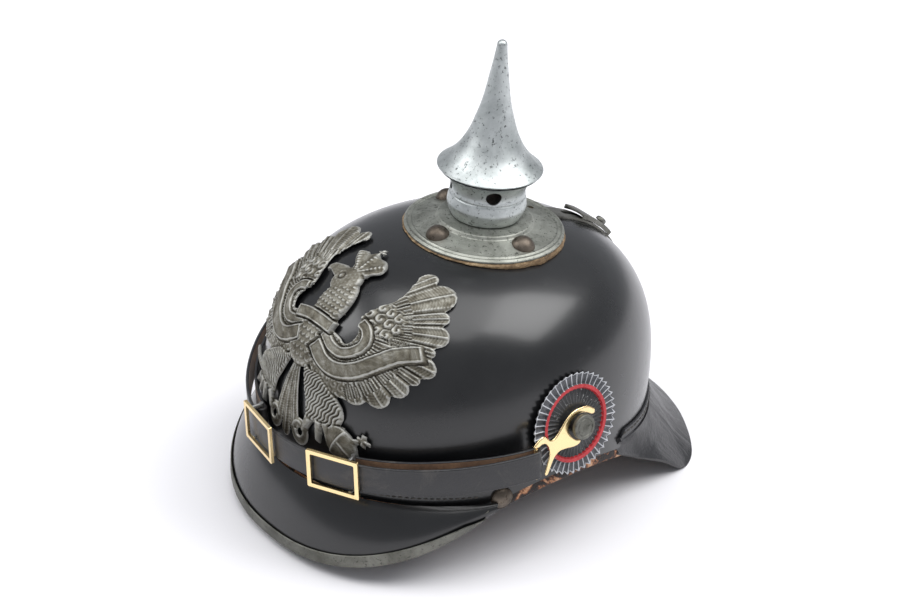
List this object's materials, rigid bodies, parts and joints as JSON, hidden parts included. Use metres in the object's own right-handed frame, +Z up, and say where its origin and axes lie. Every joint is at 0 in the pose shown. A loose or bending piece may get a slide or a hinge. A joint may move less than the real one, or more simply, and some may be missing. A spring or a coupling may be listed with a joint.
{
  "type": "leather spiked parade helmet",
  "caption": "Domed leather helmet with a visor, neck guard, vented spike on a studded base, crowned eagle plate, cockades and a buckled chin strap.",
  "frame": {"origin": "centre of the bounding box's underside, on the floor the helmet stands on, with the visor's front edge and the neck guard touching it", "axes": "+Z up, front (visor and eagle) towards -Y, the wearer's left side towards +X"},
  "size_m": [0.205, 0.2634, 0.2439],
  "materials": {
    "black_leather": "glossy lacquer",
    "wrinkled_leather": "satin, finely wrinkled",
    "worn_edge": "matte, worn",
    "brown_leather": "matte suede",
    "tan_leather": "matte, frayed",
    "lining_leather": "satin",
    "galvanised_steel": "matte, fine speckle",
    "aged_steel": "weathered, brown patina",
    "green_steel": "dull grey-green",
    "brass": "polished",
    "bare_steel": "bright",
    "cockade_left": "gloss black pleats, silver edges, red ring",
    "cockade_right": "gloss black pleats, white ring, red centre"
  },
  "bodies": {
    "helmet": {"skull": "black_leather", "rim_binding": "worn_edge", "front_visor": "black_leather", "visor_trim": "green_steel", "trim_end_studs": "green_steel", "neck_guard": "wrinkled_leather", "guard_flange": "wrinkled_leather", "rear_spine": "aged_steel", "spine_rivet": "aged_steel", "base_gasket": "tan_leather", "base_plate": "galvanised_steel", "base_studs": "aged_steel", "inner_washer": "bare_steel", "spike_socket": "galvanised_steel", "eagle_plate": "aged_steel", "eagle_lugs": "aged_steel", "eagle_pins": "brown_leather", "side_post_left": "green_steel", "side_post_right": "green_steel", "post_nut_left": "bare_steel", "post_nut_right": "bare_steel", "cockade_left": "cockade_left", "cockade_right": "cockade_right", "sweatband": "lining_leather", "liner_tongues": "lining_leather"},
    "spike": {"spike_cone": "galvanised_steel", "spike_neck": "galvanised_steel", "bayonet_ring": "galvanised_steel"},
    "vent": {"vent_cover": "aged_steel", "cover_knob": "aged_steel"},
    "strap": {"chin_strap": "black_leather", "strap_hook_left": "brass", "strap_hook_right": "brass", "buckle_frame_left": "brass", "buckle_frame_right": "brass", "buckle_bar_left": "bare_steel", "buckle_bar_right": "bare_steel"}
  },
  "joints": [
    {"name": "spike_turn", "type": "hinge", "parent": "helmet", "child": "spike", "pos_m": [0, 0.00957, 0.15939], "axis": [0, -0.0785, -0.9969], "range_deg": [0, 45]},
    {"name": "vent_slide", "type": "hinge", "parent": "helmet", "child": "vent", "pos_m": [0, 0.04527, 0.07763], "axis": [1, 0, 0], "range_deg": [-4, 10.3]},
    {"name": "chinstrap_swing", "type": "hinge", "parent": "helmet", "child": "strap", "pos_m": [0, -0.0056, 0.07365], "axis": [-1, 0, 0], "range_deg": [0, 70]}
  ]
}
